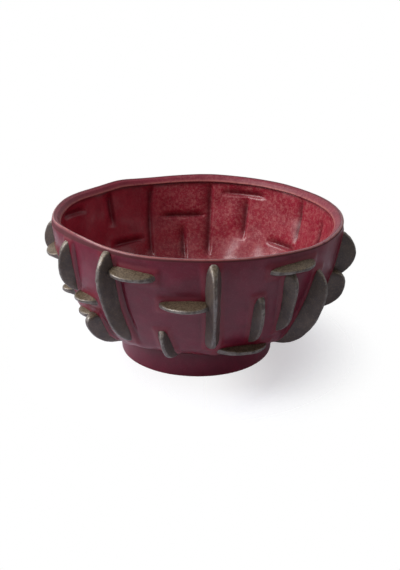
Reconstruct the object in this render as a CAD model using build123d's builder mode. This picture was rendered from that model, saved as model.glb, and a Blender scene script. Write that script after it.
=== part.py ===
"""Wide ceramic bowl on a foot ring, with clay fins luted round its wall. Millimetres, +Z up."""

import os
from collections import namedtuple
from math import atan2, cos, radians, sin, sqrt, tan

from build123d import *

# Overall form
bowl_height = 152.0
rim_radius = 150.0
belly_radius = 202.0
wall = 7.0
floor_thickness = 9.0

# Foot ring, and the underside that turns from it into the belly
foot_height = 28.0
foot_top_radius = 84.0
foot_bottom_radius = 82.0
foot_wall = 9.0
foot_edge_round = 1.5
underside_slope = 26.0
turn_radius = 25.0
inner_turn_radius = 18.0

# Rim: the wall keeps a thin lip outside, and the bevelled coil sits in a rebate behind it
lip_width = 3.0
lip_round = 1.8
coil_height = 6.8
coil_overhang = 2.2
coil_nose = 0.9

# Fins: blades that taper to a narrow edge and run out at both ends
fin_sink = 2.5
fin_edge = 2.6
fin_shoulder = 0.62

# Sink marks that the fins leave on the inside of the wall
groove_depth = 2.2
groove_width = 6.5
groove_rim_gap = 1.5
groove_floor_gap = 8.0

# A fin runs from its start to its end on the wall. Azimuth is in degrees, 0 at the front and
# rising to the right. Rise and reach are percentages of the wall's height above the foot, and
# thickness is a percentage of the wall's own.
Fin = namedtuple(
    "Fin",
    "name start_azimuth start_rise end_azimuth end_rise start_reach mid_reach end_reach thickness",
)
fins = [
    Fin("left_upright_fin_1", -87.0, 65.0, -87.0, 95.0, 10.5, 10.0, 5.5, 165.0),
    Fin("left_level_fin_1", -86.0, 73.5, -69.5, 73.5, 6.5, 8.8, 7.5, 155.0),
    Fin("left_upright_fin_2", -56.9, 53.0, -55.0, 98.5, 9.4, 10.8, 6.8, 165.0),
    Fin("left_level_fin_2", -68.0, 49.8, -59.0, 49.8, 5.5, 8.0, 5.5, 165.0),
    Fin("left_level_fin_3", -54.4, 51.4, -41.6, 52.2, 9.0, 10.0, 6.5, 165.0),
    Fin("left_upright_fin_3", -47.5, 7.5, -47.5, 39.0, 10.5, 13.2, 12.0, 165.0),
    Fin("left_level_fin_4", -61.0, 33.5, -49.0, 33.5, 5.5, 7.5, 5.5, 165.0),
    Fin("front_upright_fin_1", -31.2, 18.5, -33.5, 99.5, 12.0, 15.5, 14.5, 165.0),
    Fin("front_level_fin_1", -33.0, 85.0, -14.2, 84.3, 10.0, 13.0, 9.5, 155.0),
    Fin("front_upright_fin_2", 6.7, 19.5, 5.3, 98.0, 13.0, 14.5, 13.0, 175.0),
    Fin("front_level_fin_2", -14.1, 62.4, 5.0, 62.4, 10.5, 14.5, 13.0, 155.0),
    Fin("front_upright_fin_3", -11.2, 5.0, -14.4, 39.5, 10.0, 11.0, 7.0, 160.0),
    Fin("front_level_fin_3", 8.6, 17.0, 35.5, 14.5, 8.0, 11.0, 8.0, 155.0),
    Fin("front_upright_fin_4", 25.0, 22.0, 23.4, 68.5, 8.0, 9.5, 7.5, 155.0),
    Fin("front_level_fin_4", 25.6, 86.2, 47.6, 87.2, 8.0, 10.5, 8.5, 145.0),
    Fin("front_upright_fin_5", 37.6, 27.5, 35.0, 86.0, 9.0, 10.4, 9.8, 155.0),
    Fin("right_upright_fin_1", 48.0, 7.0, 52.2, 79.0, 14.5, 16.8, 12.3, 165.0),
    Fin("right_upright_fin_2", 78.5, 52.5, 78.5, 94.0, 13.0, 15.6, 9.2, 165.0),
    Fin("right_upright_fin_3", 74.0, 23.5, 74.0, 61.0, 11.8, 16.5, 13.6, 165.0),
    Fin("right_upright_fin_4", 104.0, 48.0, 104.0, 80.5, 9.5, 13.0, 9.0, 165.0),
    Fin("right_upright_fin_5", 122.5, 51.5, 124.0, 93.0, 10.5, 13.5, 9.0, 165.0),
    Fin("right_level_fin_1", 123.0, 43.5, 140.0, 43.5, 9.0, 12.0, 9.0, 155.0),
    Fin("back_level_fin_1", 147.0, 83.5, 167.0, 83.5, 9.5, 13.0, 9.5, 155.0),
    Fin("back_upright_fin_1", 155.0, 42.5, 155.0, 79.5, 9.5, 13.0, 9.5, 165.0),
    Fin("back_upright_fin_2", 173.5, 24.0, 173.5, 93.0, 11.5, 15.5, 12.0, 175.0),
    Fin("back_level_fin_2", 173.5, 61.0, 198.0, 61.0, 11.5, 14.5, 10.5, 155.0),
    Fin("back_upright_fin_3", 187.0, 20.0, 187.0, 50.0, 9.0, 11.5, 8.0, 165.0),
    Fin("back_upright_fin_4", 205.5, 26.0, 202.8, 93.5, 11.5, 15.5, 11.5, 175.0),
    Fin("back_level_fin_3", 209.5, 42.0, 228.0, 42.0, 9.0, 12.0, 9.0, 155.0),
    Fin("back_upright_fin_5", 225.0, 62.0, 225.0, 92.0, 9.0, 12.0, 8.0, 165.0),
    Fin("left_level_fin_5", 243.0, 82.5, 263.0, 87.5, 9.0, 12.0, 9.0, 155.0),
]
# Where two fins meet, the second is trimmed to the face of the first
trims = [
    ("left_upright_fin_1", "left_level_fin_1"),
    ("left_upright_fin_3", "left_level_fin_4"),
    ("front_upright_fin_1", "front_level_fin_1"),
    ("front_upright_fin_2", "front_level_fin_2"),
    ("front_level_fin_4", "front_upright_fin_5"),
    ("back_level_fin_1", "back_upright_fin_1"),
    ("back_upright_fin_2", "back_level_fin_2"),
]

# Values that follow from the driving dimensions
belly_centre = rim_radius - belly_radius
wall_height = bowl_height - foot_height
floor_top = foot_height + floor_thickness
rebate_radius = rim_radius - lip_width
rebate_floor = bowl_height - coil_height
coil_inner_radius = rim_radius - wall - coil_overhang
groove_top = rebate_floor - groove_rim_gap
groove_bottom = floor_top + groove_floor_gap


def wall_radius(height, inset=0.0):
    """Radius of the belly or the underside at a height, inset from the outer face."""
    belly = belly_centre + sqrt((belly_radius - inset) ** 2 - (bowl_height - height) ** 2)
    climb = height - foot_height - floor_thickness * inset / wall
    underside = foot_top_radius - inset + climb / tan(radians(underside_slope))
    return min(belly, underside)


def rise_height(rise):
    """Height above the table of a percentage of the wall."""
    return foot_height + wall_height * rise / 100.0


def reach_length(reach):
    """How far a percentage of the wall's height stands out from the wall."""
    return wall_height * reach / 100.0


def bowl_outline(base_height, base_radius, inset, round_radius):
    """Half section of the filled bowl, inset from its outer face."""
    climb = rim_radius * tan(radians(underside_slope))
    with BuildSketch(Plane.XZ) as outline:
        with Locations((belly_centre, bowl_height)):
            Circle(belly_radius - inset)
        with BuildLine():
            Polyline(
                (0, base_height),
                (base_radius, base_height),
                (base_radius + rim_radius, base_height + climb),
                (base_radius + rim_radius, bowl_height),
                (0, bowl_height),
                close=True,
            )
        make_face(mode=Mode.INTERSECT)
        turn = outline.vertices().sort_by(Axis.Y)[2]
        fillet(turn, radius=round_radius)
    return outline.sketch


outer_outline = bowl_outline(foot_height, foot_top_radius, 0.0, turn_radius)
inner_outline = bowl_outline(floor_top, foot_top_radius - wall, wall, inner_turn_radius)

# The bowl's outer form, filled, which trims the backs of the fins
with BuildPart() as filled_bowl:
    add(outer_outline)
    revolve(axis=Axis.Z)


def fin_frame(fin, start_height, end_height, inset):
    """Plane through a fin, its half length and the wall's offset along it."""
    middle_azimuth = radians((fin.start_azimuth + fin.end_azimuth) / 2.0)
    middle_height = (start_height + end_height) / 2.0
    middle_radius = wall_radius(middle_height, inset)
    across = radians(fin.end_azimuth - fin.start_azimuth) * middle_radius
    up = end_height - start_height
    lean = atan2(across, up)
    outward = Vector(sin(middle_azimuth), -cos(middle_azimuth), 0)
    sideways = Vector(cos(middle_azimuth), sin(middle_azimuth), 0)
    plane = Plane(
        origin=outward * middle_radius + Vector(0, 0, middle_height),
        x_dir=outward,
        z_dir=Vector(0, 0, sin(lean)) - sideways * cos(lean),
    )

    def wall_offset(along):
        here = wall_radius(middle_height + along * cos(lean), inset)
        return sqrt(here**2 - (along * sin(lean)) ** 2) - middle_radius

    return plane, sqrt(across**2 + up**2) / 2.0, wall_offset


def make_fin(fin, neighbours):
    """A pinched blade, broad at the wall and narrow at its edge, its back trimmed to the wall."""
    start_height, end_height = rise_height(fin.start_rise), rise_height(fin.end_rise)
    plane, half, wall_offset = fin_frame(fin, start_height, end_height, 0.0)
    reach = reach_length(fin.mid_reach)
    shoulder = fin_shoulder * half
    outline = [
        (-half, -fin_sink),
        (-shoulder, reach_length(fin.start_reach)),
        (0.0, reach),
        (shoulder, reach_length(fin.end_reach)),
        (half, -fin_sink),
    ]
    half_root = wall * fin.thickness / 100.0 / 2.0
    half_edge = fin_edge / 2.0
    with BuildPart() as blade:
        for side, inset in (
            (-half_root, reach),
            (-half_edge, 0.0),
            (half_edge, 0.0),
            (half_root, reach),
        ):
            with BuildSketch(plane.offset(side)):
                with BuildLine():
                    edge = Spline(*[(wall_offset(y) + x - inset, y) for y, x in outline])
                    Line(edge @ 1, edge @ 0)
                make_face()
        loft(ruled=True)
        add(filled_bowl.part, mode=Mode.SUBTRACT)
        for neighbour in neighbours:
            add(neighbour, mode=Mode.SUBTRACT)
    return blade.part


def make_groove(fin):
    """A shallow trough behind a fin, deepest at its middle and running out at its ends."""
    start_height = max(rise_height(fin.start_rise), groove_bottom)
    end_height = min(rise_height(fin.end_rise), groove_top)
    plane, half, wall_offset = fin_frame(fin, start_height, end_height, wall)
    with BuildPart() as trough:
        with BuildSketch(plane):
            with BuildLine():
                bottom = ThreePointArc(
                    (wall_offset(-half), -half),
                    (wall_offset(0) + groove_depth, 0),
                    (wall_offset(half), half),
                )
                Line(bottom @ 1, bottom @ 0)
            make_face()
        extrude(amount=groove_width / 2.0, both=True)
    return trough.part


os.makedirs("parts", exist_ok=True)

# Body: the turned wall and floor, rebated for the rim coil and marked behind each fin
with BuildPart() as bowl_body:
    add(outer_outline)
    revolve(axis=Axis.Z)
    outer_lip = bowl_body.edges().group_by(Axis.Z)[-1]
    fillet(outer_lip, radius=lip_round)
    with BuildSketch(Plane.XZ):
        add(inner_outline)
    revolve(axis=Axis.Z, mode=Mode.SUBTRACT)
    with Locations((0, 0, rebate_floor)):
        Cylinder(
            rebate_radius,
            coil_height,
            align=(Align.CENTER, Align.CENTER, Align.MIN),
            mode=Mode.SUBTRACT,
        )
    for fin in fins:
        add(make_groove(fin), mode=Mode.SUBTRACT)
bowl_body.part.label = "bowl_body"
export_step(bowl_body.part, "parts/bowl_body.step")

# Foot ring, open underneath
with BuildPart() as foot_ring:
    with BuildSketch(Plane.XZ):
        with BuildLine():
            Polyline(
                (foot_bottom_radius - foot_wall, 0),
                (foot_bottom_radius, 0),
                (foot_top_radius, foot_height),
                (foot_top_radius - foot_wall, foot_height),
                close=True,
            )
        make_face()
    revolve(axis=Axis.Z)
    resting_edges = foot_ring.edges().group_by(Axis.Z)[0]
    fillet(resting_edges, radius=foot_edge_round)
foot_ring.part.label = "foot_ring"
export_step(foot_ring.part, "parts/foot_ring.step")

# Rim coil: bevelled down from the lip to a ledge that hangs over the inside
with BuildPart() as rim_coil:
    with BuildSketch(Plane.XZ):
        with BuildLine():
            Polyline(
                (rebate_radius, rebate_floor),
                (rebate_radius, bowl_height),
                (coil_inner_radius, rebate_floor + coil_nose),
                (coil_inner_radius, rebate_floor),
                close=True,
            )
        make_face()
    revolve(axis=Axis.Z)
rim_coil.part.label = "rim_coil"
export_step(rim_coil.part, "parts/rim_coil.step")

# Fins, in order round the wall, each one trimmed to those it meets
made = {}
for fin in fins:
    met = [made[first] for first, second in trims if second == fin.name]
    made[fin.name] = make_fin(fin, met)
    made[fin.name].label = fin.name
    export_step(made[fin.name], f"parts/{fin.name}.step")

print(len(made), "fins on a bowl", 2 * rim_radius, "mm across and", bowl_height, "mm high")
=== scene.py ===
import math

import bmesh
import bpy
import numpy as np
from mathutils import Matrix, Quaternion, Vector, noise


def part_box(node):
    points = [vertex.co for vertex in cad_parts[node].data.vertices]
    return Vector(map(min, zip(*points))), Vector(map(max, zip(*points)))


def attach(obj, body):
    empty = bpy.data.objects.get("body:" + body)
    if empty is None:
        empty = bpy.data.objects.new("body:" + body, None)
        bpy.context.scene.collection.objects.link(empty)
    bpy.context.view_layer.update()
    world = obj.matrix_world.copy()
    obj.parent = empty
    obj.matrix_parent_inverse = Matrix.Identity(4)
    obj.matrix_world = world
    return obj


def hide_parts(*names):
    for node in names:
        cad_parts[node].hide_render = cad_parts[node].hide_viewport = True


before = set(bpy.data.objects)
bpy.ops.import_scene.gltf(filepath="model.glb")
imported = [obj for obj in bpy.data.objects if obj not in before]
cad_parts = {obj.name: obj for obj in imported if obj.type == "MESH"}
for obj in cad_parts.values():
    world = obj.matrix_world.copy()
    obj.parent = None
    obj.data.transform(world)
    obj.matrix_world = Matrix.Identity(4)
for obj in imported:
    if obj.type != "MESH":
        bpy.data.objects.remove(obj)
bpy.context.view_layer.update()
finNames = sorted(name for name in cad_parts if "_fin_" in name)

# Sizes that the frame gives, in metres
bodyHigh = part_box("bowl_body")[1]
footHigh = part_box("foot_ring")[1]
coilLow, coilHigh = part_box("rim_coil")
rimRadius = bodyHigh.y
rimTop = bodyHigh.z
footTop = footHigh.z
footRadius = footHigh.x
rebateRadius = coilHigh.x
rebateFloor = coilLow.z

# Bowl sizes that no box gives, and how finely each stretch of its outline is cut
bowl = {
    "bellyRadius": 0.202,
    "wall": 0.007,
    "floor": 0.009,
    "slope": math.radians(26),
    "turn": 0.025,
    "innerTurn": 0.018,
    "lip": 0.0018,
    "around": 640,
    "steps": {"base": 2, "slope": 5, "turn": 7, "belly": 48, "lip": 5, "inner": 64, "floor": 4},
}
bellyCentre = Vector((rimRadius - bowl["bellyRadius"], 0, rimTop))
floorTop = footTop + bowl["floor"]
weld = 1e-6  # closer points are one
awayFromLip = 9.0  # lip share of what has no lip


class Wire:
    def __init__(self, tree, socket=None):
        self.tree = tree
        self.socket = socket

    def node(self, kind, settings=None, sockets=None, out=0):
        made = self.tree.nodes.new("ShaderNode" + kind)
        for name, value in (settings or {}).items():
            setattr(made, name, value)
        for name, value in (sockets or {}).items():
            if isinstance(value, Wire):
                self.tree.links.new(value.socket, made.inputs[name])
            else:
                made.inputs[name].default_value = value
        return Wire(self.tree, made.outputs[out]) if made.outputs else None

    def math(self, operation, first, second=0.0):
        return self.node("Math", {"operation": operation}, {0: first, 1: second})

    def __add__(self, other):
        return self.math("ADD", self, other)

    def __radd__(self, other):
        return self.math("ADD", other, self)

    def __sub__(self, other):
        return self.math("SUBTRACT", self, other)

    def __rsub__(self, other):
        return self.math("SUBTRACT", other, self)

    def __mul__(self, other):
        return self.math("MULTIPLY", self, other)

    def __rmul__(self, other):
        return self.math("MULTIPLY", other, self)

    def step(self, low, high):
        ends = {"Value": self, "From Min": low, "From Max": high}
        return self.node("MapRange", {"interpolation_type": "SMOOTHSTEP"}, ends)

    def axis(self, name):
        return self.node("SeparateXYZ", None, {"Vector": self}, name)

    def noise(self, scale, detail, roughness):
        sockets = {"Vector": self, "Scale": scale, "Detail": detail, "Roughness": roughness}
        return self.node("TexNoise", None, sockets)

    def spots(self, scale, detail, roughness, low, high):
        return self.noise(scale, detail, roughness).step(low, high)

    def attribute(self, name):
        return self.node("Attribute", {"attribute_name": name}, out="Fac")

    def mix(self, factor, first, second):
        return self.node("Mix", {"data_type": "RGBA"}, {0: factor, 6: first, 7: second}, 2)


def colour(red, green, blue):
    linear = []
    for part in (red / 255, green / 255, blue / 255):
        linear.append(part / 12.92 if part < 0.0404 else ((part + 0.055) / 1.055) ** 2.4)
    return (*linear, 1.0)


def newMaterial(name):
    material = bpy.data.materials.new(name)
    material.use_nodes = True
    material.node_tree.nodes.clear()
    base = Wire(material.node_tree)
    return material, base, base.node("TexCoord", out="Object")


# Wine slip: redder and brighter inside, in part painted light of the lit hollow; painted shade beside
# fins, in creases and folds and under the lip; painted sheen on the lit right; pale worn edges that are
# partly painted highlight
wine = {
    "outside": colour(113, 22, 49),
    "outsideDeep": colour(102, 19, 44),
    # inside colours: a brighter, redder copy of the outside slip, in part painted light of the lit hollow
    "inside": colour(154, 32, 54),
    "insideDeep": colour(140, 18, 44),
    # painted shade on the wall beside each fin
    "shadeBesideFin": colour(120, 12, 32),
    # pale dust clouds, which toward the lit right also stand for painted sheen
    "paleDustAndSheen": colour(196, 120, 118),
    # pale specks of grit, which on the lit right also stand for painted glints
    "speck": colour(214, 158, 154),
    # painted shade in creases, folds, under the coil, under the belly and where the coil meets the lip
    "paintedShade": colour(64, 5, 16),
    # painted shade on the shoulder under the leaning lip
    "shadeUnderLip": colour(70, 5, 16),
    # pale edges: wear, and in part painted highlight on the lip, the coil's nose and the foot's bottom
    "wearAndHighlight": colour(198, 122, 112),
    "grain": (720.0, 3.0, 0.65),  # scale, detail and roughness of a noise
    "sheen": (120.0, 3.0, 0.5),
    "dimples": (240.0, 2.0, 0.5),
    "mottle": (55.0, 4.0, 0.6, 0.35, 0.65),  # the same, and the levels between which it sets in
    "clouds": (260.0, 4.0, 0.7, 0.42, 0.70),
    "patches": (30.0, 1.0, 0.5, 0.28, 0.52),
    "wear": (160.0, 3.0, 0.6, 0.25, 0.50),
    "speckLevels": (0.50, 0.74),
    "shadeBesideShare": 0.45,
    "cloudShare": 0.55,
    "speckShare": 0.05,
    "insideSpeckShare": 0.25,
    "paintedShadeShare": 0.75,
    "shadeUnderLipShare": 0.85,
    "wearAndHighlightShare": 0.55,
    "leastPale": 0.15,
    "litRightFrom": (-0.080, -0.020),  # across the bowl: more pale dust and painted sheen toward the lit right
    "glossyBelow": (0.050, 0.105),  # height inside
    "shadeBesideFinReach": (0.002, 0.0055),
    "lipShadow": (0.25, 0.5, 0.9, 1.25),  # shares of the lip's height
    "rough": 0.28,
    "roughSpread": 0.14,
    "roughDry": 0.18,
    "roughUnderLip": 0.40,
    "roughLessInside": 0.10,
    "grainHeight": 0.00005,
    "insideGrainHeight": 0.00006,
    "dimpleHeight": 0.00010,
    "bump": 0.6,
}


def makeWineSlip():
    material, base, place = newMaterial("wineSlip")
    inside = base.attribute("inside")
    lipShare = base.attribute("lipShare")
    grain = place.noise(*wine["grain"])
    # painted light: the inside takes the brighter, redder copy of the slip
    body = base.mix(inside, wine["outside"], wine["inside"])
    deep = base.mix(inside, wine["outsideDeep"], wine["insideDeep"])
    red = base.mix(place.spots(*wine["mottle"]), deep, body)
    # painted shade near each fin's root, where the fin blocks the light
    shadeBeside = 1.0 - base.attribute("finGap").step(*wine["shadeBesideFinReach"])
    red = base.mix(shadeBeside * wine["shadeBesideShare"], red, wine["shadeBesideFin"])
    # pale dust and specks grow toward the lit right side as painted sheen and glints
    towardLitRight = place.axis("X").step(*wine["litRightFrom"])
    dustAndSheenShare = inside * (wine["leastPale"] + (1.0 - wine["leastPale"]) * towardLitRight)
    red = base.mix(place.spots(*wine["clouds"]) * dustAndSheenShare * wine["cloudShare"], red, wine["paleDustAndSheen"])
    speck = grain.step(*wine["speckLevels"]) * (wine["speckShare"] + wine["insideSpeckShare"] * dustAndSheenShare)
    red = base.mix(speck, red, wine["speck"])
    # painted shade along creases beside fins, in the folds of the marks and in the hollows under coil and
    # belly
    patchy = inside + (1.0 - inside) * place.spots(*wine["patches"])
    red = base.mix(base.attribute("crease") * patchy * wine["paintedShadeShare"], red, wine["paintedShade"])
    # painted shade under the lip
    start, full, fading, end = wine["lipShadow"]
    shadeUnderLip = lipShare.step(start, full) * (1.0 - lipShare.step(fading, end))
    red = base.mix(shadeUnderLip * wine["shadeUnderLipShare"], red, wine["shadeUnderLip"])
    # wear, and in part painted highlight along thin edges
    wearAndHighlight = base.attribute("thin") * place.spots(*wine["wear"])
    red = base.mix(wearAndHighlight * wine["wearAndHighlightShare"], red, wine["wearAndHighlight"])
    rough = wine["rough"] + wine["roughSpread"] * place.noise(*wine["sheen"])
    rough = rough + wine["roughDry"] * base.attribute("dry") + wine["roughUnderLip"] * shadeUnderLip
    low = 1.0 - place.axis("Z").step(*wine["glossyBelow"])
    rough = rough - wine["roughLessInside"] * inside * low
    height = grain * (wine["grainHeight"] + wine["insideGrainHeight"] * inside)
    height = height + place.noise(*wine["dimples"]) * wine["dimpleHeight"]
    bump = base.node("Bump", None, {"Height": height, "Strength": wine["bump"], "Distance": 1.0})
    looks = {"Base Color": red, "Roughness": rough, "Normal": bump, "IOR": 1.5, "Specular IOR Level": 0.5}
    shader = base.node("BsdfPrincipled", None, looks)
    base.node("OutputMaterial", None, {"Surface": shader})
    return material


# Fin slip: dark brown-grey with a metallic grain, pale edges that are partly wear and partly painted
# highlight, and golden painted light on the up-facing tops
finLook = {
    "dark": colour(76, 67, 66),
    "lessDark": colour(93, 82, 77),
    "speck": colour(128, 108, 90),
    # painted light: the tops, lit from above, take a golden tint
    "litTopGoldDeep": colour(80, 66, 50),
    "litTopGold": colour(120, 104, 84),
    # pale fin edges: wear, and in part painted highlight
    "wearAndHighlight": colour(198, 191, 188),
    "grain": (620.0, 4.0, 0.65),
    "dust": (1500.0, 2.0, 0.5),
    "mottle": (70.0, 3.0, 0.5, 0.3, 0.7),
    "wear": (210.0, 3.0, 0.6, 0.34, 0.60),
    "speckLevels": (0.46, 0.70),
    "litTopGoldLevels": (0.38, 0.62),
    "speckShare": 0.45,
    "wearAndHighlightShare": 0.66,
    "litTopFrom": (0.35, 0.8),  # how far a face looks up, for the painted light on the tops
    "rough": 0.42,
    "roughLessEdge": 0.14,
    "roughSpread": 0.12,
    "metallic": 0.25,
    "edgeCoat": 0.9,
    "coatRough": 0.16,
    "grainHeight": 0.00012,
    "dustHeight": 0.00004,
    "bump": 0.7,
}


def makeFinSlip():
    material, base, place = newMaterial("finSlip")
    edge = base.attribute("edge")
    up = base.node("NewGeometry", out="Normal").axis("Z")
    grain = place.noise(*finLook["grain"])
    dark = base.mix(place.spots(*finLook["mottle"]), finLook["dark"], finLook["lessDark"])
    speck = grain.step(*finLook["speckLevels"]) * finLook["speckShare"]
    dark = base.mix(speck, dark, finLook["speck"])
    # painted light on the faces that look up
    litTopGold = base.mix(grain.step(*finLook["litTopGoldLevels"]), finLook["litTopGoldDeep"], finLook["litTopGold"])
    tint = base.mix(up.step(*finLook["litTopFrom"]), dark, litTopGold)
    # wear, and in part painted highlight along the fin's edges
    wearAndHighlight = edge * place.spots(*finLook["wear"])
    tint = base.mix(wearAndHighlight * finLook["wearAndHighlightShare"], tint, finLook["wearAndHighlight"])
    rough = finLook["rough"] - finLook["roughLessEdge"] * edge + finLook["roughSpread"] * (grain - 0.5)
    height = grain * finLook["grainHeight"] + place.noise(*finLook["dust"]) * finLook["dustHeight"]
    bump = base.node("Bump", None, {"Height": height, "Strength": finLook["bump"], "Distance": 1.0})
    looks = {"Base Color": tint, "Roughness": rough, "Metallic": finLook["metallic"], "Normal": bump}
    looks |= {"Coat Weight": edge * finLook["edgeCoat"], "Coat Roughness": finLook["coatRough"]}
    shader = base.node("BsdfPrincipled", None, looks)
    base.node("OutputMaterial", None, {"Surface": shader})
    return material


wineSlip = makeWineSlip()
finSlip = makeFinSlip()
print("materials made")


# Profile of a turned piece, drawn as a chain of vertices in the XZ plane
def lastVertex(chain):
    return next(item for item in chain["geom_last"] if isinstance(item, bmesh.types.BMVert))


def lineTo(bm, tip, x, z, steps=1):
    step = (Vector((x, 0, z)) - tip.co) / steps
    ways = {"cent": (0, 0, 0), "axis": (0, 1, 0), "dvec": step, "angle": 0, "steps": steps}
    return lastVertex(bmesh.ops.spin(bm, geom=[tip], **ways))


def arcTo(bm, tip, centre, turn, steps):
    ways = {"cent": centre, "axis": (0, -1, 0), "angle": turn, "steps": steps}
    return lastVertex(bmesh.ops.spin(bm, geom=[tip], **ways))


def turned(bm, around):
    bmesh.ops.spin(
        bm,
        geom=bm.verts[:] + bm.edges[:],
        cent=(0, 0, 0),
        axis=(0, 0, 1),
        angle=math.tau,
        steps=around,
        use_merge=True,
    )
    bmesh.ops.remove_doubles(bm, verts=bm.verts, dist=weld)
    bmesh.ops.recalc_face_normals(bm, faces=bm.faces)


# Where the belly arc turns into the sloping underside: the turn's centre, lower end and angle
def findTurn(baseRadius, baseHeight, reach, roundness):
    along = Vector((math.cos(bowl["slope"]), 0, math.sin(bowl["slope"])))
    out = Vector((-along.z, 0, along.x))
    start = Vector((baseRadius, 0, baseHeight)) + out * roundness - bellyCentre
    half = start.dot(along)
    travel = -half + math.sqrt(half * half - start.length_squared + (reach - roundness) ** 2)
    centre = bellyCentre + start + along * travel
    toward = centre - bellyCentre
    return centre, centre - out * roundness, math.atan2(toward.z, toward.x)


# Small helpers on the points of a mesh
def meshPoints(mesh):
    points = np.empty(len(mesh.vertices) * 3)
    mesh.vertices.foreach_get("co", points)
    return points.reshape(-1, 3)


def movePoints(mesh, points):
    mesh.vertices.foreach_set("co", points.astype(np.float32).ravel())
    mesh.update()


def setAttribute(mesh, name, values):
    layer = mesh.attributes.new(name, "FLOAT", "POINT")
    layer.data.foreach_set("value", np.broadcast_to(values, len(mesh.vertices)).astype(np.float32))


def fall(distance, width):
    return np.exp(-((distance / width) ** 2))


def ramp(values, start, length):
    return np.clip((values - start) / length, 0, 1)


def ripple(points, size, scale, seed):
    offset = Vector((seed, seed * 0.7, -seed))  # another stretch of the same noise
    return size * np.array([noise.noise(Vector(point) * scale + offset) for point in points])


def addPiece(name, bm, material):
    mesh = bpy.data.meshes.new(name)
    bm.to_mesh(mesh)
    bm.free()
    mesh.materials.append(material)
    mesh.polygons.foreach_set("use_smooth", [True] * len(mesh.polygons))
    piece = bpy.data.objects.new(name, mesh)
    bpy.context.scene.collection.objects.link(piece)
    return piece


# Hand-made unevenness, shared by the pieces so that what is joined stays joined
wobble = {
    "stretch": 0.016,  # the mouth is a little wider than deep
    "rimFrom": 0.62,  # share of the wall's height
    "waveHeight": 0.0008,
    "waves": ((3, 0.7, 1.0), (7, 2.0, 0.6)),  # how many around, where they start, how strong
    "sway": 0.0014,
    "sways": ((5, 1.1), (9, 0.0)),
    # rises of the rim: degrees around, width in degrees, lift
    "rises": ((177, 17, 0.0030), (-142, 9, 0.0024), (-52, 27, 0.0066), (48, 14, -0.0024)),
    # the fins rise less at the left front
    "finRises": ((177, 17, 0.0030), (-142, 9, 0.0024), (-33, 10, 0.0042), (48, 14, -0.0024)),
}


def unevenness(points, rises):
    share = ramp(points[:, 2], footTop, rimTop - footTop)
    nearRim = ramp(share, wobble["rimFrom"], 1 - wobble["rimFrom"]) ** 2
    share = share * share * (3 - 2 * share)
    azimuth = np.arctan2(points[:, 0], -points[:, 1])
    moved = points.copy()
    moved[:, 0] *= 1 + wobble["stretch"] * nearRim
    wave = sum(size * np.sin(count * azimuth + start) for count, start, size in wobble["waves"])
    moved[:, 2] += share * wobble["waveHeight"] * wave
    for angle, spread, lift in rises:
        turn = (np.degrees(azimuth) - angle + 180) % 360 - 180
        moved[:, 2] += nearRim * lift * fall(turn, spread)
    sway = sum(np.sin(count * azimuth + start) for count, start in wobble["sways"])
    moved[:, :2] *= (1 + share * wobble["sway"] * sway)[:, None]
    return moved


# Marks and swellings: the wall swells where a fin grows from it and is sunk in behind each fin
marks = {
    "rootGap": 0.0012,  # a fin's root lies this near the outline
    "levelSlant": 0.5,  # a fin that climbs less is level
    "reach": 0.045,  # how far behind its root a fin leaves marks
    "swell": 0.0014,
    "spread": 0.0034,
    "crease": 0.0015,
    "creaseAt": 0.0046,
    "creaseWidth": 0.0023,
    "creaseTaper": 0.4,
    "creaseLeft": -0.35,  # uprights that look further left are creased beside
    "creaseLow": 0.045,  # level fins below this are creased above
    "creaseFaint": 0.2,
    "sink": 0.0044,  # depth of a mark inside
    "gentle": 0.0140,  # widths of its two slopes
    "levelGentle": 0.0090,
    "gentleCurve": 1.6,
    "steep": 0.0028,
    "fadeFrom": -0.003,
    "fadeLength": 0.014,
    "foldAt": 0.0020,  # the painted shade line in a mark
    "foldWidth": 0.0036,
    "foldShadeShare": 0.85,
    # painted shadow just below the coil's ledge
    "shadeUnderCoil": 0.0030,
    "rimFade": (0.003, 0.006),
    "coilFade": (0.0, 0.006),
    "floorFade": (0.004, 0.012),
    "lump": (0.0016, 34.0, 12.0),  # size, scale and seed of a ripple
    "lumpAtFloor": 2.2,
    "lumpLessAtRim": 1.4,
    "hem": (0.0046, 52.0, 21.0),  # waves low on the outside
    "hemDip": 0.0012,
    "hemHeight": 0.036,
    "hemSpread": 0.012,
    "skin": ((0.0004, 38.0, 3.0), (0.0002, 110.0, 9.0)),
    "underFoot": 0.0002,  # the underside sinks no further into the foot
    "innerShare": 0.6,  # of the wall's thickness
    "lipEdge": 0.0008,
    "lipEdgeWidth": 0.0016,
}


def wallNormal(points):
    radius = np.hypot(points[:, 0], points[:, 1])
    across = (radius - bellyCentre.x) / np.maximum(radius, weld)
    normal = np.stack([points[:, 0] * across, points[:, 1] * across, points[:, 2] - rimTop], 1)
    return normal / np.linalg.norm(normal, axis=1)[:, None]


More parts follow.
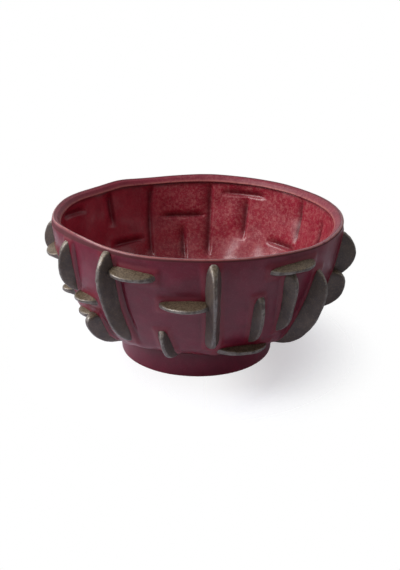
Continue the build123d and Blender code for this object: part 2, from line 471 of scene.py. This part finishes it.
# Each fin's place on the wall, from the points where the CAD fin meets the bowl's outline
def finSeat(points, profile):
    radius = np.hypot(points[:, 0], points[:, 1])
    gaps = np.hypot(radius[:, None] - profile[:, 0], points[:, 2][:, None] - profile[:, 1])
    root = points[gaps.min(1) < marks["rootGap"]]
    centre = (root.min(0) + root.max(0)) / 2
    outward = wallNormal(centre[None, :])[0]
    long = np.linalg.eigh(np.cov((root - root.mean(0)).T))[1][:, -1]
    long -= outward * long.dot(outward)
    long /= np.linalg.norm(long)
    thin = np.cross(outward, long)
    leftOrUp = np.array([outward[1], -outward[0], 1.0])
    thin *= np.sign(thin @ leftOrUp)
    level = abs(long[2]) < marks["levelSlant"]
    creased = centre[2] < marks["creaseLow"] if level else outward[0] < marks["creaseLeft"]
    along = (root - centre) @ long
    across = (root - centre) @ thin
    centre = centre + long * (along.min() + along.max()) / 2 + thin * (across.min() + across.max()) / 2
    return {
        "centre": centre,
        "outward": outward,
        "long": long,
        "thin": thin,
        "half": (along.max() - along.min()) / 2,
        "thickness": across.max() - across.min(),
        "level": level,
        "creaseSide": 1 if level else -np.sign(thin[1]),
        "creaseDepth": 1.0 if creased else marks["creaseFaint"],
    }


# For each point: the way to the nearest fin, and how deep it lies in a mark, a crease and a fold
def seatShapes(points, seats):
    gap = np.full(len(points), 1.0)
    valley, crease, fold = np.zeros((3, len(points)))
    for seat in seats.values():
        offset = points - seat["centre"]
        beyond = np.abs(offset @ seat["long"]) - seat["half"]
        across = offset @ seat["thin"]
        here = offset @ seat["outward"] > -marks["reach"]
        edge = np.hypot(np.maximum(beyond, 0), np.maximum(np.abs(across) - seat["thickness"] / 2, 0))
        gap = np.where(here, np.minimum(gap, edge), gap)
        fade = ramp(-beyond, marks["fadeFrom"], marks["fadeLength"])
        slope = across if seat["level"] else -across
        gentle = marks["levelGentle" if seat["level"] else "gentle"]
        wide = np.clip(1 - slope / gentle, 0, 1) ** marks["gentleCurve"]
        deep = np.where(slope > 0, wide, np.clip(1 + slope / marks["steep"], 0, 1)) * fade * (2 - fade)
        valley = np.where(here, np.maximum(valley, deep), valley)
        line = fall(slope - marks["foldAt"], marks["foldWidth"]) * fade
        fold = np.where(here, np.maximum(fold, line), fold)
        off = across * seat["creaseSide"] - seat["thickness"] / 2 - marks["creaseAt"]
        line = fall(off, marks["creaseWidth"]) * ramp(-beyond, 0, marks["creaseTaper"] * seat["half"])
        crease = np.where(here, np.maximum(crease, line * seat["creaseDepth"]), crease)
    return gap, valley, crease, fold


# Bowl: one turned wall from the middle of its underside over the lip to the middle of its floor
def drawBowl(bm):
    steps = bowl["steps"]
    reach = bowl["bellyRadius"]
    inner = reach - bowl["wall"]
    innerFoot = footRadius - bowl["wall"]
    centre, tangent, angle = findTurn(footRadius, footTop, reach, bowl["turn"])
    tip = bm.verts.new((0, 0, footTop))
    tip = lineTo(bm, tip, footRadius, footTop, steps["base"])
    tip = lineTo(bm, tip, tangent.x, tangent.z, steps["slope"])
    tip = arcTo(bm, tip, centre, angle + math.pi / 2 - bowl["slope"], steps["turn"])
    lipAngle = -math.asin(bowl["lip"] / reach)
    tip = arcTo(bm, tip, bellyCentre, lipAngle - angle, steps["belly"])
    outer = len(bm.verts)
    tip = arcTo(bm, tip, tip.co - Vector((bowl["lip"], 0, 0)), math.pi / 2, steps["lip"])
    tip = lineTo(bm, tip, rebateRadius, rimTop)
    tip = lineTo(bm, tip, rebateRadius, rebateFloor)
    top = math.asin((rebateFloor - rimTop) / inner)
    tip = lineTo(bm, tip, bellyCentre.x + inner * math.cos(top), rebateFloor)
    centre, tangent, angle = findTurn(innerFoot, floorTop, inner, bowl["innerTurn"])
    tip = arcTo(bm, tip, bellyCentre, angle - top, steps["inner"])
    tip = arcTo(bm, tip, centre, bowl["slope"] - math.pi / 2 - angle, steps["turn"])
    tip = lineTo(bm, tip, innerFoot, floorTop, steps["floor"])
    lineTo(bm, tip, 0, floorTop, steps["floor"])
    bm.verts.ensure_lookup_table()
    return np.array([(vert.co.x, vert.co.z) for vert in bm.verts[:outer]])


def pressWall(points, radius, inside, gap, valley, crease):
    height = points[:, 2]
    normal = wallNormal(points)
    swell = marks["swell"] * fall(gap, marks["spread"]) - marks["crease"] * crease
    swell *= ramp(rimTop - height, *marks["rimFade"])
    hem = fall(height - marks["hemHeight"], marks["hemSpread"]) * (radius > footRadius)
    swell += np.maximum(hem * ripple(points, *marks["hem"]), -marks["hemDip"])
    share = (height - floorTop) / (rimTop - floorTop)
    lump = ripple(points, *marks["lump"]) * (marks["lumpAtFloor"] - marks["lumpLessAtRim"] * share)
    sunk = (marks["sink"] * valley + lump) * ramp(rebateFloor - height, *marks["coilFade"])
    sunk *= ramp(height - floorTop, *marks["floorFade"])
    points = points + normal * np.where(inside, sunk, swell)[:, None]
    points = points + normal * sum(ripple(points, *layer) for layer in marks["skin"])[:, None]
    points[:, 2] = np.maximum(points[:, 2], footTop - marks["underFoot"])
    return points


# The lip leans in over a shoulder that carries painted shade, most of all on the left
shoulder = {"height": 0.0022, "more": 0.0030, "middle": -62, "spread": 38, "lean": 0.8}


def makeBowl():
    bm = bmesh.new()
    profile = drawBowl(bm)
    seats = {name: finSeat(meshPoints(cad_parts[name].data), profile) for name in finNames}
    turned(bm, bowl["around"])
    piece = addPiece("bowl_wall", bm, wineSlip)
    points = meshPoints(piece.data)
    height = points[:, 2]
    radius = np.hypot(points[:, 0], points[:, 1])
    depth = bowl["bellyRadius"] - np.hypot(radius - bellyCentre.x, height - rimTop)
    inside = depth > bowl["wall"] * marks["innerShare"]
    inside &= height > footTop + bowl["floor"] * marks["innerShare"]
    gap, valley, crease, fold = seatShapes(points, seats)
    azimuth = np.degrees(np.arctan2(points[:, 0], -points[:, 1]))
    leaning = fall(azimuth - shoulder["middle"], shoulder["spread"])
    lipShare = (rimTop - height) / (shoulder["height"] + shoulder["more"] * leaning)
    # painted shadow under the overhanging coil
    shadeUnderCoil = fall(rebateFloor - height, marks["shadeUnderCoil"])
    points = pressWall(points, radius, inside, gap, valley, crease)
    lean = shoulder["lean"] * leaning * np.clip(1 - lipShare, 0, 1) * (radius > rebateRadius)
    squeeze = 1 - lean * (radius - rebateRadius) / np.maximum(radius, weld)
    points[:, :2] *= squeeze[:, None]
    movePoints(piece.data, unevenness(points, wobble["rises"]))
    outermost = radius > rimRadius - marks["lipEdgeWidth"]
    # painted shade: the folds of the marks and below the coil's ledge
    dark = np.maximum(marks["foldShadeShare"] * fold, shadeUnderCoil)
    setAttribute(piece.data, "inside", inside)
    # the lip's pale outer edge, partly wear and partly painted highlight
    setAttribute(piece.data, "thin", fall(points[:, 2] - rimTop, marks["lipEdge"]) * outermost)
    setAttribute(piece.data, "finGap", np.where(inside, 1.0, gap))
    # painted shade: folds and the coil's ledge inside, creases beside fins outside
    setAttribute(piece.data, "crease", np.where(inside, dark, crease))
    setAttribute(piece.data, "lipShare", np.where(inside, awayFromLip, lipShare))
    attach(piece, "root")
    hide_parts("bowl_body")
    print("bowl made", len(piece.data.polygons))
    return seats


seats = makeBowl()


# Foot ring: a plain hollow band with soft resting edges, with painted shade below the belly
foot = {
    "wall": 0.009,
    "taper": 0.002,
    "edge": 0.0015,
    "edgeTurn": 0.7,  # radians, past which an edge is sharp
    "edgeBelow": 0.001,
    # painted shade at the foot's top, under the belly
    "dark": 0.7,
    "shadeBelow": 0.008,
    "wearAndHighlight": 0.6,
    "wearAndHighlightHeight": 0.0011,
    "skin": (0.0004, 30.0, 5.0),
    "steps": {"side": 16, "wall": 4},
    "around": 360,
}


def makeFoot():
    steps = foot["steps"]
    baseRadius = footRadius - foot["taper"]
    bm = bmesh.new()
    bottom = bm.verts.new((baseRadius, 0, 0))
    tip = lineTo(bm, bottom, footRadius, footTop, steps["side"])
    tip = lineTo(bm, tip, footRadius - foot["wall"], footTop, steps["wall"])
    tip = lineTo(bm, tip, baseRadius - foot["wall"], 0, steps["side"])
    lineTo(bm, tip, bottom.co.x, 0, steps["wall"])
    turned(bm, foot["around"])
    low = [edge for edge in bm.edges if edge.verts[0].co.z < foot["edgeBelow"]]
    sharp = [edge for edge in low if edge.calc_face_angle(0) > foot["edgeTurn"]]
    ways = {"segments": 3, "profile": 0.5, "affect": "EDGES", "material": -1}
    bmesh.ops.bevel(bm, geom=sharp, offset=foot["edge"], **ways)
    piece = addPiece("foot_band", bm, wineSlip)
    points = meshPoints(piece.data)
    setAttribute(piece.data, "inside", 0.0)
    # the foot's pale bottom edge, partly wear and partly painted highlight
    setAttribute(piece.data, "thin", foot["wearAndHighlight"] * fall(points[:, 2], foot["wearAndHighlightHeight"]))
    # painted shade under the overhanging belly
    setAttribute(piece.data, "crease", foot["dark"] * fall(footTop - points[:, 2], foot["shadeBelow"]))
    setAttribute(piece.data, "finGap", 1.0)
    setAttribute(piece.data, "lipShare", awayFromLip)
    out = points / np.maximum(np.hypot(points[:, 0], points[:, 1]), weld)[:, None]
    out[:, 2] = 0
    movePoints(piece.data, points + out * ripple(points, *foot["skin"])[:, None])
    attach(piece, "root")
    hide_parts("foot_ring")
    print("foot made", len(piece.data.polygons))


makeFoot()


# Rim coil: bevelled down to a ledge with a soft nose, with painted shade where it meets the lip
coil = {
    "overhang": 0.0022,
    "nose": 0.0009,
    "noseEdge": 0.0008,
    "noseFrom": 0.0004,
    "flat": 0.0031,
    "drop": 0.0017,
    "inside": 0.4,  # share of the inside's colour
    # painted shade where the coil meets the lip
    "dark": 0.8,
    "shadeWidth": 0.0011,
    "free": 0.003,
    "skin": (0.0003, 60.0, 2.0),
    "steps": {"back": 3, "flat": 5, "bevel": 6, "under": 5},
    "around": 480,
}


def makeCoil():
    steps = coil["steps"]
    noseRadius = rimRadius - bowl["wall"] - coil["overhang"]
    bm = bmesh.new()
    corner = bm.verts.new((rebateRadius, 0, rebateFloor))
    tip = lineTo(bm, corner, rebateRadius, rimTop, steps["back"])
    tip = lineTo(bm, tip, rebateRadius - coil["flat"], rimTop - coil["drop"], steps["flat"])
    tip = lineTo(bm, tip, noseRadius, rebateFloor + coil["nose"], steps["bevel"])
    tip = lineTo(bm, tip, noseRadius, rebateFloor)
    lineTo(bm, tip, corner.co.x, rebateFloor, steps["under"])
    turned(bm, coil["around"])
    piece = addPiece("rim_bevel", bm, wineSlip)
    points = meshPoints(piece.data)
    radius = np.hypot(points[:, 0], points[:, 1])
    # the coil's pale nose, partly wear and partly painted highlight
    nose = fall(radius - noseRadius, coil["noseEdge"]) * (points[:, 2] > rebateFloor + coil["noseFrom"])
    setAttribute(piece.data, "inside", coil["inside"])
    setAttribute(piece.data, "thin", nose)
    setAttribute(piece.data, "dry", 1.0)
    # painted shade along the coil's outer edge, next to the lip
    setAttribute(piece.data, "crease", coil["dark"] * fall(rebateRadius - radius, coil["shadeWidth"]))
    setAttribute(piece.data, "finGap", 1.0)
    setAttribute(piece.data, "lipShare", awayFromLip)
    points[:, 2] += ramp(rebateRadius - radius, 0, coil["free"]) * ripple(points, *coil["skin"])
    movePoints(piece.data, unevenness(points, wobble["rises"]))
    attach(piece, "root")
    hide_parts("rim_coil")
    print("rim made", len(piece.data.polygons))


makeCoil()


# Fins: slabs cut by hand, plump and blunt, whose edges run a little unevenly
fin = {
    "voxel": 0.0008,
    "smooth": 5,
    "plump": 0.18,
    "blunt": 0.9,
    "levelBlunt": 0.35,
    "bluntCurve": 4,
    "wander": (0.0007, 45.0, 3.7),  # size, scale and the seed's step from fin to fin
    "chatter": (0.00025, 160.0, 1.3),
    "edgeFrom": 0.00004,  # how far a point stands out from its neighbours
    "edgeRange": 0.00005,
    "edgeSmooth": 2,
}


def neighbourMean(mesh, values):
    ends = np.empty(len(mesh.edges) * 2, np.int32)
    mesh.edges.foreach_get("vertices", ends)
    first, second = ends.reshape(-1, 2).T
    total = np.zeros_like(values)
    count = np.zeros(len(values))
    for one, other in ((first, second), (second, first)):
        np.add.at(total, one, values[other])
        np.add.at(count, one, 1)
    count = np.maximum(count, 1)
    return total / (count[:, None] if values.ndim == 2 else count)


# A closed even skin over the CAD fin, with its corners softened
def softFin(name):
    bm = bmesh.new()
    bm.from_mesh(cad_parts[name].data)
    bmesh.ops.remove_doubles(bm, verts=bm.verts, dist=weld)
    rough = addPiece(name + "_rough", bm, finSlip)
    remesh = rough.modifiers.new("remesh", "REMESH")
    remesh.mode = "VOXEL"
    remesh.voxel_size = fin["voxel"]
    graph = bpy.context.evaluated_depsgraph_get()
    bm = bmesh.new()
    bm.from_mesh(bpy.data.meshes.new_from_object(rough.evaluated_get(graph)))
    bpy.data.objects.remove(rough)
    ways = {"factor": 0.5, "use_axis_x": True, "use_axis_y": True, "use_axis_z": True}
    for turn in range(fin["smooth"]):
        bmesh.ops.smooth_vert(bm, verts=bm.verts, **ways)
    return bm


def makeFin(name, order):
    piece = addPiece(name.replace("_fin_", "_slab_"), softFin(name), finSlip)
    mesh = piece.data
    points = meshPoints(mesh)
    normals = np.empty(len(points) * 3)
    mesh.vertices.foreach_get("normal", normals)
    normals = normals.reshape(-1, 3)
    sharp = ((points - neighbourMean(mesh, points)) * normals).sum(1)
    for turn in range(fin["edgeSmooth"]):
        sharp = (sharp + neighbourMean(mesh, sharp)) / 2
    seat = seats[name]
    along = np.clip(np.abs((points - seat["centre"]) @ seat["long"]) / seat["half"], 0, 1)
    across = (points - seat["centre"]) @ seat["thin"]
    blunt = fin["levelBlunt" if "_level_" in name else "blunt"]
    wider = across * (fin["plump"] + blunt * along ** fin["bluntCurve"])
    points = points + seat["thin"] * wider[:, None]
    push = np.zeros(len(points))
    for size, scale, seed in (fin["wander"], fin["chatter"]):
        push += ripple(points, size, scale, order * seed)
    movePoints(mesh, unevenness(points + normals * push[:, None], wobble["finRises"]))
    setAttribute(mesh, "edge", ramp(sharp, fin["edgeFrom"], fin["edgeRange"]))
    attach(piece, "root")
    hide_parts(name)
    return len(mesh.polygons)


print("fins made", sum(makeFin(name, order) for order, name in enumerate(finNames)))


# Floor: pale, keeps the shadow on the right, and fades out elsewhere
floorLook = {
    "half": 0.36,
    "pale": (0.87, 0.885, 0.99, 1.0),
    "glow": (0.45, 0.45, 0.45, 1.0),
    "fade": (0.10, 0.21),  # distance from the middle
    "leftFade": 0.75,
    "leftEdge": (0.0, 0.10),
}


def makeFloor():
    material, base, place = newMaterial("paleFloor")
    away = base.node("VectorMath", {"operation": "LENGTH"}, {0: place}, "Value")
    seen = base.node("LightPath", out="Is Camera Ray")
    pale = base.node("BsdfDiffuse", None, {"Color": floorLook["pale"]})
    glow = base.node("Emission", None, {"Color": base.mix(seen, (0, 0, 0, 1), floorLook["glow"])})
    lit = base.node("AddShader", None, {0: pale, 1: glow})
    clear = base.node("BsdfTransparent")
    left = 1.0 - place.axis("X").step(*floorLook["leftEdge"])
    fade = base.math("MAXIMUM", away.step(*floorLook["fade"]), floorLook["leftFade"] * left)
    shader = base.node("MixShader", None, {0: fade * seen, 1: lit, 2: clear})
    base.node("OutputMaterial", None, {"Surface": shader})
    bm = bmesh.new()
    bmesh.ops.create_grid(bm, x_segments=1, y_segments=1, size=floorLook["half"])
    floor = addPiece("floor", bm, material)
    print("floor made")


makeFloor()

# Light: a broad soft box high on the left and a weak one on the right, both turned to the bowl
lamps = {
    "keyLight": {"place": Vector((-1.12, -0.20, 1.00)), "size": 0.9, "power": 18.5},
    "fillLight": {"place": Vector((1.3, 0.1, 0.6)), "size": 0.8, "power": 1.2},
}
lampAim = Vector((0, 0, 0.08))


def addLamp(name, place, size, power):
    lamp = bpy.data.lights.new(name, "AREA")
    lamp.size = size
    lamp.energy = power
    light = bpy.data.objects.new(name, lamp)
    light.location = place
    light.rotation_euler = (lampAim - place).to_track_quat("-Z", "Y").to_euler()
    bpy.context.scene.collection.objects.link(light)


for name, setting in lamps.items():
    addLamp(name, **setting)

# Surroundings: white to the eye, lit on the left and dimmer on the right, in front and below
room = {
    "front": 0.27,
    "back": 0.35,
    "dimShine": 0.24,
    "lowShine": 0.25,
    "toBack": 0.4,  # which way the lit side lies
    "toLeft": 0.9,
    "spread": 0.6,
    "lowFrom": -0.25,
}


def makeWorld():
    world = bpy.data.worlds.new("studio")
    bpy.context.scene.world = world
    world.use_nodes = True
    world.node_tree.nodes.clear()
    sky = Wire(world.node_tree)
    toward = sky.node("TexCoord", out="Generated")
    seen = sky.node("LightPath", out="Is Camera Ray")
    glossy = sky.node("LightPath", out="Is Glossy Ray")
    passed = sky.node("LightPath", out="Is Transmission Ray")
    side = room["toBack"] * toward.axis("Y") - room["toLeft"] * toward.axis("X")
    side = side.step(-room["spread"], room["spread"])
    level = toward.axis("Z").step(room["lowFrom"], 0.0)
    diffuse = room["front"] + (room["back"] - room["front"]) * side
    bright = room["dimShine"] + (1.0 - room["dimShine"]) * side
    shine = room["lowShine"] + (bright - room["lowShine"]) * level
    lit = diffuse + (shine - diffuse) * sky.math("MAXIMUM", glossy, passed)
    strength = lit + (1.0 - lit) * seen
    background = sky.node("Background", None, {"Color": (1, 1, 1, 1), "Strength": strength})
    sky.node("OutputWorld", None, {"Surface": background})
    print("light made")


makeWorld()

# Camera: the photograph's own angle, from the fitted ellipses of the rim and the foot
view = {
    "target": Vector((0, 0, 0.0762)),
    "distance": 0.95,
    "elevation": math.radians(21.45),
    "roll": math.radians(0.5),
    "lens": 55.4,
    "shift": (0.0054, -0.0109),
}


def makeCamera():
    lens = bpy.data.cameras.new("camera")
    lens.lens = view["lens"]
    lens.shift_x, lens.shift_y = view["shift"]
    camera = bpy.data.objects.new("camera", lens)
    back = Vector((0, -math.cos(view["elevation"]), math.sin(view["elevation"])))
    camera.location = view["target"] + back * view["distance"]
    aim = (-back).to_track_quat("-Z", "Y") @ Quaternion((0, 0, 1), view["roll"])
    camera.rotation_euler = aim.to_euler()
    bpy.context.scene.collection.objects.link(camera)
    bpy.context.scene.camera = camera
    print("camera made")


makeCamera()
bpy.context.scene.view_settings.view_transform = "Standard"

print("scene made")
